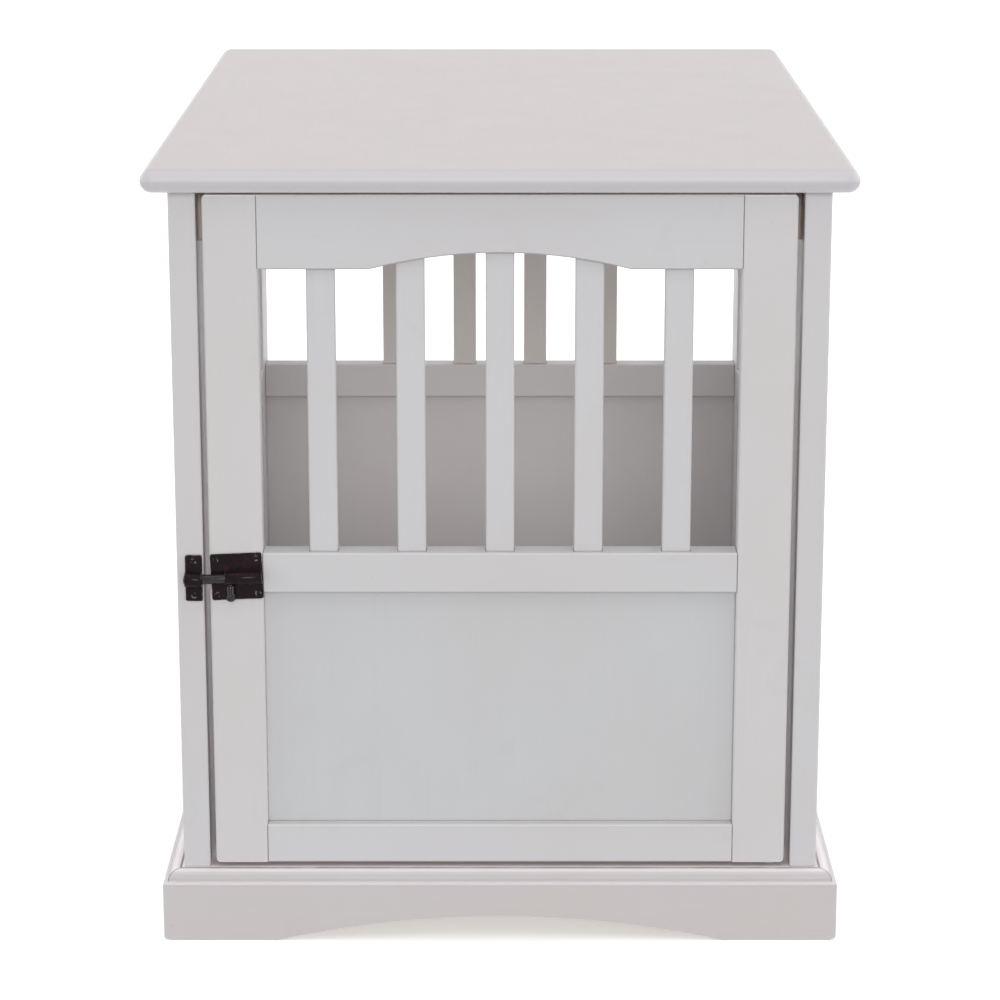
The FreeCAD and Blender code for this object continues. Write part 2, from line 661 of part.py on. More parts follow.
# Barrel bolt. It is drawn level about its plate's centre: x along the bolt, y = 0 on the door's
# face with -y to the front, z up. Then it is tilted and moved to the door.

def latch_place(shape):
    """A piece of the bolt assembly tilted about the plate's centre and put on the door."""
    centre_x = -DOOR_WIDTH / 2 + LATCH_PLATE_MARGIN + LATCH_PLATE_WIDTH / 2
    centre = FreeCAD.Vector(centre_x, BODY_FRONT, LATCH_HEIGHT)
    tilt = FreeCAD.Rotation(Y_AXIS, -LATCH_TILT)
    return moved(shape, FreeCAD.Placement(centre, tilt))


def guide_loop(x_from, x_to, bore_radius, wall):
    """A loop pressed out of sheet round the bolt, with straight legs down to the plate."""
    length = x_to - x_from

    def arch(radius, root):
        start = FreeCAD.Vector(x_from, -BOLT_STANDOFF, 0)
        crown = Part.makeCylinder(radius, length, start, X_AXIS)
        legs = block(x_from, x_to, -BOLT_STANDOFF, root, -radius, radius)
        back_half = block(x_from, x_to, root, radius, -radius, radius)
        return crown.fuse(legs).cut(back_half)

    return arch(bore_radius + wall, -LATCH_SHEET), arch(bore_radius, -LATCH_SHEET)


def sheet_plate(width, height):
    """A flat plate on the face y = 0 with bevelled corners."""
    plate = block(-width / 2, width / 2, -LATCH_SHEET, 0, -height / 2, height / 2)
    return plate.makeChamfer(SHEET_CORNER_BEVEL, edges_along(plate, Y_AXIS))


def latch_screw_set(places):
    """Small countersunk screws driven to the rear through a plate, and their holes."""
    rotation = FreeCAD.Rotation(Z_AXIS, Y_AXIS)
    spots = [FreeCAD.Placement(FreeCAD.Vector(x, -LATCH_SHEET, z), rotation) for x, z in places]
    solid = screw(LATCH_SCREW_HEAD_RADIUS, LATCH_SCREW_RADIUS, LATCH_SCREW_LENGTH, 0.0)
    hole = screw(LATCH_SCREW_HEAD_RADIUS, LATCH_SCREW_RADIUS, LATCH_SCREW_LENGTH, JOINT_FIT)
    return [moved(solid, spot) for spot in spots], [moved(hole, spot) for spot in spots]


def knob_offset():
    """Distance of the knob from the plate's centre when the bolt is thrown."""
    barrel_start = LATCH_PLATE_WIDTH / 2 - BARREL_LENGTH
    return barrel_start + BARREL_END_BRIDGE + BOLT_FLOAT + KNOB_STEM_RADIUS


def latch_plate_pieces():
    """The bolt's plate with its pressed barrel and knob slot, and the plate's screws and holes."""
    right_end = LATCH_PLATE_WIDTH / 2
    barrel_start = right_end - BARREL_LENGTH
    bore_radius = BOLT_RADIUS + BOLT_RUNNING_FIT
    barrel, bore = guide_loop(barrel_start, right_end, bore_radius, BARREL_WALL)
    stem_room = KNOB_STEM_RADIUS + BOLT_FLOAT
    slot = block(knob_offset() - stem_room, knob_offset() + BOLT_TRAVEL + stem_room,
                 -BOLT_STANDOFF - stem_room, -BOLT_STANDOFF + stem_room,
                 -bore_radius - 2 * BARREL_WALL, 0)
    plate = sheet_plate(LATCH_PLATE_WIDTH, LATCH_PLATE_HEIGHT).fuse(barrel).cut([bore, slot])
    x = LATCH_PLATE_WIDTH / 2 - LATCH_SCREW_INSET
    z = LATCH_PLATE_HEIGHT / 2 - LATCH_SCREW_INSET
    screws, holes = latch_screw_set([(-x, -z), (-x, z), (x, -z), (x, z)])
    plate = plate.removeSplitter().cut(holes)
    return latch_place(plate), latch_place(Part.makeCompound(screws)), [latch_place(h) for h in holes]


def keeper_place(shape):
    """A piece of the keeper put on the post, level with the bolt where the bolt enters it."""
    post_edge = CABIN_WIDTH / 2
    x = -post_edge - KEEPER_MARGIN - KEEPER_WIDTH / 2
    plate_x = -DOOR_WIDTH / 2 + LATCH_PLATE_MARGIN + LATCH_PLATE_WIDTH / 2
    z = LATCH_HEIGHT - (plate_x - x) * math.tan(math.radians(LATCH_TILT))
    return turned(shape, 0, FreeCAD.Vector(x, BODY_FRONT, z))


def keeper_pieces():
    """The keeper with its loop for the bolt's tip, and its screws and holes."""
    half = KEEPER_WIDTH / 2
    loop, bore = guide_loop(-half, half, BOLT_RADIUS + KEEPER_BORE_FIT, LATCH_SHEET)
    z = LATCH_PLATE_HEIGHT / 2 - LATCH_SCREW_INSET
    screws, holes = latch_screw_set([(0, -z), (0, z)])
    plate = sheet_plate(KEEPER_WIDTH, LATCH_PLATE_HEIGHT).fuse(loop).cut(bore)
    plate = plate.removeSplitter().cut(holes)
    return keeper_place(plate), keeper_place(Part.makeCompound(screws)), [keeper_place(h) for h in holes]


def bolt_pieces():
    """The sliding bolt and the knob that is screwed into it, thrown."""
    tail = LATCH_PLATE_WIDTH / 2 - BOLT_TAIL_SETBACK
    keeper_far = DOOR_SIDE_GAP + KEEPER_MARGIN + KEEPER_WIDTH
    tip = -LATCH_PLATE_WIDTH / 2 - LATCH_PLATE_MARGIN - keeper_far - BOLT_TIP_REACH
    rod = Part.makeCylinder(BOLT_RADIUS, tail - tip, FreeCAD.Vector(tip, -BOLT_STANDOFF, 0), X_AXIS)
    rims = [edge for edge in rod.Edges if edge.BoundBox.XLength < BOLT_FLOAT]
    rod = rod.makeChamfer(BOLT_TIP_BEVEL, rims)
    stem_start = BOLT_RADIUS - KNOB_STEM_SEAT
    grip_start = BOLT_RADIUS + BOLT_RUNNING_FIT + BARREL_WALL + KNOB_COLLAR_GAP
    end_start = KNOB_LENGTH - KNOB_END_LENGTH

    def point(radius, depth):
        return FreeCAD.Vector(knob_offset() + radius, -BOLT_STANDOFF, -depth)

    outline = Part.makePolygon([
        point(0, stem_start),
        point(KNOB_STEM_RADIUS, stem_start),
        point(KNOB_STEM_RADIUS, grip_start),
        point(KNOB_GRIP_RADIUS, grip_start),
        point(KNOB_GRIP_RADIUS, end_start),
        point(KNOB_END_RADIUS, end_start),
        point(KNOB_END_RADIUS, KNOB_LENGTH - KNOB_END_BEVEL),
        point(KNOB_END_RADIUS - KNOB_END_BEVEL, KNOB_LENGTH),
        point(0, KNOB_LENGTH),
        point(0, stem_start),
    ])
    knob = Part.Face(outline).revolve(point(0, 0), Z_AXIS, 360)
    seat = Part.makeCylinder(KNOB_STEM_RADIUS + JOINT_FIT, KNOB_LENGTH - stem_start,
                             point(0, KNOB_LENGTH), Z_AXIS)
    return latch_place(rod.cut(seat)), latch_place(knob)


def build():
    """Every piece of the table, by name."""
    pieces = base_pieces()
    back, back_pockets = back_pieces()
    header, header_pockets = header_piece()
    pieces.update(back)
    pieces["front_header_rail"] = header
    cross_pockets = back_pockets + header_pockets
    pieces.update(side_pieces("left", -90, -BODY_WIDTH / 2, cross_pockets))
    pieces.update(side_pieces("right", 90, BODY_WIDTH / 2, cross_pockets))
    pieces.update(door_pieces())
    pieces.update(pivot_pieces())

    cleats, cleat_screws, cleat_holes = cleat_pieces()
    floor_screws, floor_holes = wood_screws(floor_screw_places(), Z_AXIS, FLOOR_SCREW_LENGTH)
    pieces["top_cleats"] = cleats
    pieces["cleat_screws"] = cleat_screws
    pieces["floor_screws"] = Part.makeCompound(floor_screws)
    for side in ("left", "right"):
        pieces[side + "_top_rail"] = pieces[side + "_top_rail"].cut(cleat_holes)
        pieces[side + "_bottom_rail"] = pieces[side + "_bottom_rail"].cut(floor_holes)

    floor_pin_hole = pivot_pin(BASE_HEIGHT - FLOOR_THICKNESS, BASE_HEIGHT, PIVOT_SEAT_FIT)
    top_pin_hole = pivot_pin(TOP_UNDERSIDE, TOP_UNDERSIDE + PIVOT_TOP_DEPTH, PIVOT_SEAT_FIT)
    pieces["floor_panel"] = pieces["floor_panel"].cut(floor_holes + [floor_pin_hole])
    pieces["top_panel"] = top_panel().cut(cleat_holes + [top_pin_hole])

    latch_plate, latch_plate_screws, plate_holes = latch_plate_pieces()
    latch_keeper, keeper_screws, keeper_holes = keeper_pieces()
    pieces["latch_plate"] = latch_plate
    pieces["latch_plate_screws"] = latch_plate_screws
    pieces["latch_keeper"] = latch_keeper
    pieces["keeper_screws"] = keeper_screws
    pieces["latch_bolt"], pieces["bolt_knob"] = bolt_pieces()
    pieces["door_latch_stile"] = pieces["door_latch_stile"].cut(plate_holes)
    pieces["left_front_stile"] = pieces["left_front_stile"].cut(keeper_holes)
    return pieces


def export(pieces):
    """One STEP file for each piece."""
    os.makedirs("parts", exist_ok=True)
    for name, shape in pieces.items():
        shape.exportStep("parts/" + name + ".step")


export(build())
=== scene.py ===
import math

import bmesh
import bpy
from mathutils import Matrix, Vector


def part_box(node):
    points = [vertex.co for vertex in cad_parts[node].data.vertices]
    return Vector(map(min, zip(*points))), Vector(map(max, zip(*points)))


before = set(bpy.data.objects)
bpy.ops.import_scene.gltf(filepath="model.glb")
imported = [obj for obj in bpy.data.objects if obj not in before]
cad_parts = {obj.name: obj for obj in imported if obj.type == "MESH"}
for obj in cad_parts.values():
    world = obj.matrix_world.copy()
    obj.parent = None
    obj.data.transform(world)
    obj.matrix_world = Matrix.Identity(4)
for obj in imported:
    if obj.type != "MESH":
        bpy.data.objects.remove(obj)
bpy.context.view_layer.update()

# Dog crate end table: satin white paint on wood, a black barrel bolt, plain studio floor.
# Metres, in the same frame as the solids. Colours and places come first, then the node helpers,
# the materials, each piece's finish and the stage.


def srgb(red, green, blue):
    """Linear colour from an 8 bit screen colour."""
    def lin(value):
        value = value / 255.0
        return value / 12.92 if value <= 0.04045 else ((value + 0.055) / 1.055) ** 2.4
    return (lin(red), lin(green), lin(blue), 1.0)


# Paint of each part of the table.
FRAME_TINT = srgb(202, 201, 203)
WARM_TINT = srgb(205, 203, 204)
TOP_TINT = srgb(196, 190, 189)
PANEL_TINT = srgb(197, 198, 200)
# The back's paint is warmer than the frame's, as painted warm light bounced inside the crate.
BACK_BOUNCE_TINT = srgb(203, 200, 199)
BACK_SLAT_BOUNCE_TINT = srgb(204, 199, 195)
BASE_TINT = srgb(200, 195, 195)
# The header rail behind the door's top gap is painted darker, as painted shade in that gap.
HEADER_SHADE_TINT = srgb(186, 179, 174)

# Marks in the paint, and painted light and shade, as shares of a tint's red, green and blue.
CLOUD_TONE = (0.985, 0.965, 0.955)
FIGURE_TONE = (0.955, 0.965, 0.985)
STREAK_TONE = (0.94, 0.94, 0.94)
SMUDGE_TONE = (0.93, 0.915, 0.895)
NICK_TONE = (0.42, 0.36, 0.30)
# Painted shade in creases, which also colours the dirty joint lines of the base and the floor
# board.
SHADE_AND_DIRT_TONE = (0.40, 0.33, 0.28)
# Painted warm bounce light in the slots between pieces.
SLOT_BOUNCE_TONE = (1.08, 0.98, 0.92)
# Painted light on the door's top edge, which lies in shade under the table top.
DOOR_TOP_LIGHT_TONE = (1.5, 1.47, 1.44)
# Painted highlight on the base's flat top and ledge.
LEDGE_HIGHLIGHT_TONE = (1.36, 1.37, 1.42)
# Painted shade on the lower part of the base's round moulding.
HOLLOW_SHADE_TONE = (0.84, 0.84, 0.85)
# Painted light on the top's rounded edge, and a stronger painted light on its underside.
RIM_LIGHT_TONE = (1.0, 1.045, 1.13)
UNDER_RIM_LIGHT_TONE = (1.68, 1.74, 1.80)

# Marks on the black lacquer.
RUST = srgb(58, 34, 30)
GRIT = srgb(58, 44, 46)
WORN_STEEL = srgb(150, 142, 144)

# Places on the solids that the paint follows.
LEDGE_DROP = 0.007
TOP_EDGE_ROUND = 0.0073
FLOOR_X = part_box("floor_panel")[1].x
FLOOR_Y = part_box("floor_panel")[1].y
DOOR_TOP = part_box("door_top_rail")[1].z
BASE_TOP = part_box("front_skirt")[1].z
LEDGE_Z = BASE_TOP - LEDGE_DROP
TOP_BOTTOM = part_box("top_panel")[0].z
TOP_RIM = (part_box("top_panel")[1].x - TOP_EDGE_ROUND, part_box("top_panel")[1].y - TOP_EDGE_ROUND)

# How far the painted shade in creases and in joints, and the painted warm bounce light in the slots
# between two pieces, reach.
CREASE_SHADE_REACH = 0.003
JOINT_SHADE_REACH = 0.0014
SLOT_BOUNCE_REACH = 0.02
# How short the wood's figure is across the grain, next to its length along it.
GRAIN_SQUEEZE = 0.035
EVEN = (1.0, 1.0, 1.0)


class Nodes:
    """A short way to write node trees."""

    def __init__(self, name):
        self.material = bpy.data.materials.new(name)
        self.material.use_nodes = True
        self.tree = self.material.node_tree
        self.tree.nodes.clear()
        self.output = self.tree.nodes.new("ShaderNodeOutputMaterial")
        self.shader = self.tree.nodes.new("ShaderNodeBsdfPrincipled")
        self.link(self.shader.outputs[0], self.output.inputs["Surface"])

    def link(self, source, target):
        self.tree.links.new(source, target)

    def put(self, socket, value):
        """Links a node's output to a socket, or sets the socket to a plain value."""
        if isinstance(value, bpy.types.NodeSocket):
            self.link(value, socket)
        else:
            socket.default_value = value

    def coordinates(self, scale):
        """Object coordinates in metres, scaled by a vector."""
        place = self.tree.nodes.new("ShaderNodeTexCoord")
        mapping = self.tree.nodes.new("ShaderNodeMapping")
        self.link(place.outputs["Object"], mapping.inputs["Vector"])
        mapping.inputs["Scale"].default_value = scale
        return mapping.outputs[0]

    def axes(self):
        """The three object coordinates, made positive."""
        place = self.tree.nodes.new("ShaderNodeTexCoord")
        split = self.tree.nodes.new("ShaderNodeSeparateXYZ")
        self.link(place.outputs["Object"], split.inputs[0])
        return [self.math("ABSOLUTE", out, 0.0) for out in split.outputs]

    def noise(self, vector, scale, detail=2.0, rough=0.5, distortion=0.0):
        node = self.tree.nodes.new("ShaderNodeTexNoise")
        self.link(vector, node.inputs["Vector"])
        node.inputs["Scale"].default_value = scale
        node.inputs["Detail"].default_value = detail
        node.inputs["Roughness"].default_value = rough
        node.inputs["Distortion"].default_value = distortion
        return node.outputs[0]

    def dots(self, vector, scale, radius):
        """Sparse round marks: 1 inside a mark, 0 elsewhere."""
        node = self.tree.nodes.new("ShaderNodeTexVoronoi")
        self.link(vector, node.inputs["Vector"])
        node.inputs["Scale"].default_value = scale
        return self.ramp(node.outputs["Distance"], radius * scale, radius * scale * 0.4)

    def occlusion(self, distance, inside=False):
        """Openness within a distance, or with inside set nearness of the piece's own edges."""
        node = self.tree.nodes.new("ShaderNodeAmbientOcclusion")
        node.samples = 5
        node.inside = inside
        node.only_local = inside
        node.inputs["Distance"].default_value = distance
        return node.outputs["AO"]

    def ramp(self, value, low, high, out_low=0.0, out_high=1.0):
        """Maps the range from low to high on another one, and stops at its ends."""
        node = self.tree.nodes.new("ShaderNodeMapRange")
        node.clamp = True
        self.link(value, node.inputs["Value"])
        node.inputs["From Min"].default_value = low
        node.inputs["From Max"].default_value = high
        node.inputs["To Min"].default_value = out_low
        node.inputs["To Max"].default_value = out_high
        return node.outputs[0]

    def mix(self, factor, first, second):
        node = self.tree.nodes.new("ShaderNodeMix")
        node.data_type = "RGBA"
        self.put(node.inputs[0], factor)
        self.put(node.inputs[6], first)
        self.put(node.inputs[7], second)
        return node.outputs[2]

    def math(self, operation, first, second):
        node = self.tree.nodes.new("ShaderNodeMath")
        node.operation = operation
        self.put(node.inputs[0], first)
        self.put(node.inputs[1], second)
        return node.outputs[0]

    def bump(self, height, strength, distance, normal=None):
        node = self.tree.nodes.new("ShaderNodeBump")
        node.inputs["Strength"].default_value = strength
        node.inputs["Distance"].default_value = distance
        self.link(height, node.inputs["Height"])
        if normal is not None:
            self.link(normal, node.inputs["Normal"])
        return node.outputs[0]


def shade(tint, tone):
    """A tint with each of its colours scaled."""
    return tuple(part * share for part, share in zip(tint, tone)) + (1.0,)


def painted(name, tint, grain, grain_depth=1.0, gloss=0.44, age=1.0,
            joints=None, rim=None, lift_above=None):
    """Satin white paint over wood whose grain runs along one axis.

    age is how soiled the paint is, joints a function that adds dirty joint lines and also turns on
    a painted highlight on the base's ledges and painted shade in its hollow, rim the half sizes
    inside a rounded edge that gets painted light, most on its underside, and lift_above a height
    above which the paint is lightened as painted light. Creases and joints get painted shade, and
    the slots between pieces a painted warm bounce light.
    """
    m = Nodes(name)
    along = m.coordinates([GRAIN_SQUEEZE if axis == grain else 1.0 for axis in "xyz"])
    plain = m.coordinates(EVEN)
    streaks = m.noise(along, 900.0, 3.0, 0.6)
    figure = m.noise(along, 110.0, 4.0, 0.55, 0.7)
    cloud = m.noise(plain, 7.0, 3.0, 0.5)
    smudge = m.noise(plain, 26.0, 4.0, 0.6, 0.4)
    peel = m.noise(plain, 1500.0, 1.0)

    colour = m.mix(m.ramp(cloud, 0.38, 0.68, 0.0, age), tint, shade(tint, CLOUD_TONE))
    colour = m.mix(m.ramp(figure, 0.5, 0.78, 0.0, 0.6), colour, shade(tint, FIGURE_TONE))
    colour = m.mix(m.ramp(streaks, 0.52, 0.8, 0.0, 0.35), colour, shade(tint, STREAK_TONE))
    colour = m.mix(m.ramp(smudge, 0.60, 0.76, 0.0, 0.5 * age), colour, shade(tint, SMUDGE_TONE))
    if rim:
        # Painted light on the rounded edge, and on its underside, which faces down.
        edge = m.math("MULTIPLY", edge_band(m, rim, 0.0, 0.006), 0.8)
        colour = m.mix(edge, colour, shade(tint, RIM_LIGHT_TONE))
        under = m.ramp(m.axes()[2], TOP_BOTTOM + 0.0085, TOP_BOTTOM + 0.0007)
        colour = m.mix(m.math("POWER", under, 3.0), colour, shade(tint, UNDER_RIM_LIGHT_TONE))
    nicks = m.dots(plain, 42.0, 0.0007)
    colour = m.mix(m.math("MULTIPLY", nicks, 0.3), colour, shade(tint, NICK_TONE))
    # Painted shade in creases, from how closed in each point is; where joints are given, their
    # dirty lines join it.
    shade_and_joint_dirt = m.ramp(m.occlusion(CREASE_SHADE_REACH), 0.30, 0.08, 0.0, 0.75)
    if joints:
        # Painted highlight on the base's flat top and ledge.
        colour = m.mix(ledge_highlight(m), colour, shade(tint, LEDGE_HIGHLIGHT_TONE))
        # Painted shade in the hollow of the moulding.
        colour = m.mix(hollow_shade(m), colour, shade(tint, HOLLOW_SHADE_TONE))
        shade_and_joint_dirt = m.math("MAXIMUM", shade_and_joint_dirt, joints(m, plain))
    else:
        # Painted shade in tight joints.
        joint = m.ramp(m.occlusion(JOINT_SHADE_REACH), 0.72, 0.42, 0.0, 0.8)
        shade_and_joint_dirt = m.math("MAXIMUM", shade_and_joint_dirt, joint)
    # Painted warm bounce light in the slots between pieces, from how closed in each point is.
    slot = m.ramp(m.occlusion(SLOT_BOUNCE_REACH), 0.34, 0.12)
    colour = m.mix(slot, colour, shade(tint, SLOT_BOUNCE_TONE))
    # Painted light on the door's top edge, in the shade under the table top's overhang.
    if lift_above:
        lift = m.ramp(m.axes()[2], lift_above - 0.0009, lift_above - 0.0005)
        colour = m.mix(lift, colour, shade(tint, DOOR_TOP_LIGHT_TONE))
    colour = m.mix(shade_and_joint_dirt, colour, shade(tint, SHADE_AND_DIRT_TONE))
    m.link(colour, m.shader.inputs["Base Color"])

    sheen = m.math("ADD", smudge, m.math("MULTIPLY", streaks, 0.5))
    rough = m.ramp(sheen, 0.5, 1.0, gloss - 0.08 * age, gloss + 0.1 * age)
    m.link(rough, m.shader.inputs["Roughness"])
    relief = m.math("ADD", m.math("MULTIPLY", figure, 0.9), m.math("MULTIPLY", streaks, 0.45))
    normal = m.bump(relief, 0.30 * grain_depth, 0.0002)
    normal = m.bump(peel, 0.08, 0.0001, normal)
    m.link(normal, m.shader.inputs["Normal"])
    m.shader.inputs["IOR"].default_value = 1.46
    return m.material


def edge_band(m, half_sizes, start, end):
    """Rises from 0 to 1 with the distance outside a rectangle round the origin."""
    x, y, z = m.axes()
    outside = m.math("MAXIMUM", m.math("SUBTRACT", x, half_sizes[0]),
                     m.math("SUBTRACT", y, half_sizes[1]))
    return m.ramp(outside, start, end)


def ledge_highlight(m):
    """Painted highlight on the flat top of the base and on its small ledge, lighter than the
    upright faces.
    """
    z = m.axes()[2]
    flat = m.ramp(z, BASE_TOP - 0.0012, BASE_TOP - 0.0003)
    off_ledge = m.math("ABSOLUTE", m.math("SUBTRACT", z, LEDGE_Z), 0.0)
    return m.math("MAXIMUM", flat, m.ramp(off_ledge, 0.0005, 0.0002, 0.0, 0.8))


def hollow_shade(m):
    """Painted shade on the lower part of the base's round moulding, above the ledge."""
    z = m.axes()[2]
    return m.math("MULTIPLY", m.ramp(z, LEDGE_Z + 0.0004, LEDGE_Z + 0.0012),
                  m.ramp(z, BASE_TOP - 0.0014, BASE_TOP - 0.0032))


def broken(m, vector):
    """How strongly a joint line shows from place to place."""
    return m.ramp(m.noise(vector, 38.0, 3.0, 0.6), 0.34, 0.55, 0.5, 0.95)


def mitre_line(m, vector):
    """A thin joint line where two sides of the base ring meet at 45 degrees."""
    x, y, z = m.axes()
    skew = m.math("SUBTRACT", m.math("SUBTRACT", x, FLOOR_X), m.math("SUBTRACT", y, FLOOR_Y))
    line = m.ramp(m.math("ABSOLUTE", skew, 0.0), 0.0008, 0.0003)
    high = m.ramp(z, LEDGE_Z, LEDGE_Z + 0.0015)
    return m.math("MULTIPLY", m.math("MULTIPLY", line, high), broken(m, vector))


def floor_line(m, vector):
    """Dirt in the joint between the floor board and the base ring."""
    line = edge_band(m, (FLOOR_X, FLOOR_Y), -0.0013, -0.0007)
    return m.math("MULTIPLY", line, broken(m, vector))


def black_iron(name, dark, light, smooth, gleam):
    """Satin black lacquer on steel, a little rusty and chipped along its edges."""
    m = Nodes(name)
    plain = m.coordinates(EVEN)
    cloud = m.noise(plain, 160.0, 3.0, 0.6)
    grit = m.noise(plain, 1800.0, 2.0, 0.6)
    chips = m.noise(plain, 420.0, 2.0, 0.6)
    rust = m.noise(plain, 90.0, 4.0, 0.65)
    colour = m.mix(m.ramp(cloud, 0.35, 0.7), dark, light)
    colour = m.mix(m.ramp(rust, 0.55, 0.72, 0.0, 0.6), colour, RUST)
    colour = m.mix(m.ramp(grit, 0.62, 0.8, 0.0, 0.4), colour, GRIT)
    edge = m.ramp(m.occlusion(0.0007, True), 0.85, 0.55)
    worn = m.math("MULTIPLY", edge, m.ramp(chips, 0.50, 0.62))
    colour = m.mix(m.math("MULTIPLY", worn, 0.8), colour, WORN_STEEL)
    m.link(colour, m.shader.inputs["Base Color"])
    m.link(m.ramp(cloud, 0.3, 0.75, smooth, smooth + 0.14), m.shader.inputs["Roughness"])
    m.shader.inputs["Specular IOR Level"].default_value = gleam
    m.link(m.bump(grit, 0.2, 0.0001), m.shader.inputs["Normal"])
    return m.material


def metal(name, light, dark, rough):
    """Plain metal for screws and pins, brushed along z."""
    m = Nodes(name)
    cloud = m.noise(m.coordinates(EVEN), 300.0, 3.0, 0.6)
    scratch = m.noise(m.coordinates((1.0, 1.0, 0.08)), 2400.0, 2.0, 0.6)
    m.link(m.mix(m.ramp(cloud, 0.35, 0.7), light, dark), m.shader.inputs["Base Color"])
    m.link(m.ramp(scratch, 0.3, 0.7, rough - 0.08, rough + 0.12), m.shader.inputs["Roughness"])
    m.shader.inputs["Metallic"].default_value = 1.0
    m.link(m.bump(scratch, 0.15, 0.00006), m.shader.inputs["Normal"])
    return m.material


def pine(name):
    """Bare planed pine, hidden under the top and the floor."""
    m = Nodes(name)
    along = m.coordinates((1.0, 0.05, 1.0))
    bands = m.noise(along, 90.0, 4.0, 0.6, 1.2)
    pores = m.noise(along, 1500.0, 2.0)
    colour = m.mix(m.ramp(bands, 0.4, 0.62), srgb(226, 199, 155), srgb(196, 154, 100))
    colour = m.mix(m.ramp(pores, 0.55, 0.8, 0.0, 0.35), colour, srgb(150, 108, 66))
    m.link(colour, m.shader.inputs["Base Color"])
    m.link(m.ramp(bands, 0.3, 0.7, 0.62, 0.8), m.shader.inputs["Roughness"])
    m.link(m.bump(pores, 0.3, 0.0002), m.shader.inputs["Normal"])
    return m.material


def nylon(name):
    """Grey plastic for the washer under the door."""
    m = Nodes(name)
    cloud = m.noise(m.coordinates(EVEN), 500.0, 2.0)
    colour = m.mix(m.ramp(cloud, 0.3, 0.7), srgb(150, 146, 142), srgb(128, 124, 120))
    m.link(colour, m.shader.inputs["Base Color"])
    m.link(m.ramp(cloud, 0.3, 0.7, 0.35, 0.5), m.shader.inputs["Roughness"])
    m.link(m.bump(cloud, 0.1, 0.00005), m.shader.inputs["Normal"])
    return m.material


materials = {
    "rail_x": painted("paint_rail_x", FRAME_TINT, "x"),
    "rail_y": painted("paint_rail_y", FRAME_TINT, "y"),
    "upright": painted("paint_upright", FRAME_TINT, "z"),
    "stile": painted("paint_stile", WARM_TINT, "z", lift_above=DOOR_TOP),
    "door_top_rail": painted("paint_door_top_rail", FRAME_TINT, "x", lift_above=DOOR_TOP),
    "base_x": painted("paint_base_x", BASE_TINT, "x", joints=mitre_line),
    "base_y": painted("paint_base_y", BASE_TINT, "y", joints=mitre_line),
    "top": painted("paint_top", TOP_TINT, "y", 0.35, 0.40, 0.35, rim=TOP_RIM),
    "panel": painted("paint_panel", PANEL_TINT, "z", 0.25, 0.5),
    "back_panel": painted("paint_back_panel", BACK_BOUNCE_TINT, "z", 0.25, 0.5),
    "back_rail": painted("paint_back_rail", BACK_BOUNCE_TINT, "x"),
    "back_slat": painted("paint_back_slat", BACK_SLAT_BOUNCE_TINT, "z"),
    "floor_board": painted("paint_floor_board", BASE_TINT, "y", 0.4, 0.5, joints=floor_line),
    # The header's darker paint is painted shade in the gap above the door.
    "header": painted("paint_header_shade", HEADER_SHADE_TINT, "x"),
    "black": black_iron("black_iron", srgb(20, 12, 19), srgb(34, 19, 21), 0.16, 0.1),
    "black_rod": black_iron("black_rod", srgb(22, 17, 24), srgb(36, 28, 35), 0.12, 0.36),
    "zinc": metal("zinc", srgb(196, 196, 190), srgb(150, 148, 140), 0.38),
    "steel": metal("steel", srgb(186, 188, 190), srgb(140, 142, 146), 0.3),
    "pine": pine("bare_pine"),
    "nylon": nylon("nylon"),
}

# How much an edge is rounded by paint or lacquer, for the finishes whose solids have sharp edges.
PAINT_ROUND = 0.0004
LACQUER_ROUND = 0.00012
softened = dict.fromkeys(("rail_x", "rail_y", "upright", "stile", "door_top_rail",
                          "back_rail", "back_slat"), PAINT_ROUND)
softened.update(dict.fromkeys(("black", "black_rod"), LACQUER_ROUND))

finish_of = {
    "top_panel": "top", "floor_panel": "floor_board",
    "front_skirt": "base_x", "rear_skirt": "base_x",
    "left_skirt": "base_y", "right_skirt": "base_y",
    "corner_blocks": "pine", "floor_bearers": "pine", "top_cleats": "pine",
    "front_header_rail": "header",
    "cleat_screws": "zinc", "floor_screws": "zinc",
    "top_pivot_pin": "steel", "bottom_pivot_pin": "steel", "pivot_washer": "nylon",
    "latch_keeper": "black", "keeper_screws": "black", "latch_plate": "black",
    "latch_plate_screws": "black", "latch_bolt": "black_rod", "bolt_knob": "black_rod",
    "door_latch_stile": "stile", "door_hinge_stile": "stile",
    "door_top_rail": "door_top_rail", "door_mid_rail": "rail_x", "door_bottom_rail": "rail_x",
    "door_lower_panel": "panel",
    "back_top_rail": "back_rail", "back_mid_rail": "back_rail", "back_bottom_rail": "back_rail",
    "back_slats": "back_slat", "back_lower_panel": "back_panel",
}
for side in ("left", "right"):
    for rail in ("top_rail", "mid_rail", "bottom_rail"):
        finish_of[side + "_" + rail] = "rail_y"
    for upright in ("front_stile", "rear_stile", "slats"):
        finish_of[side + "_" + upright] = "upright"
    finish_of[side + "_lower_panel"] = "panel"
for slat in range(1, 6):
    finish_of["door_slat_%d" % slat] = "upright"


def soften(thing, width):
    """Rounds every edge of a piece a little, as paint does."""
    weld = thing.modifiers.new("weld", "WELD")
    weld.merge_threshold = 0.00001
    bevel = thing.modifiers.new("bevel", "BEVEL")
    bevel.width = width
    bevel.segments = 2
    bevel.limit_method = "ANGLE"
    bevel.angle_limit = math.radians(25.0)
    bevel.harden_normals = True


for name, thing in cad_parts.items():
    finish = finish_of[name]
    if finish in softened:
        soften(thing, softened[finish])
    if not thing.data.materials:
        thing.data.materials.append(materials[finish])
    for slot in thing.material_slots:
        slot.link = "OBJECT"
        slot.material = materials[finish]


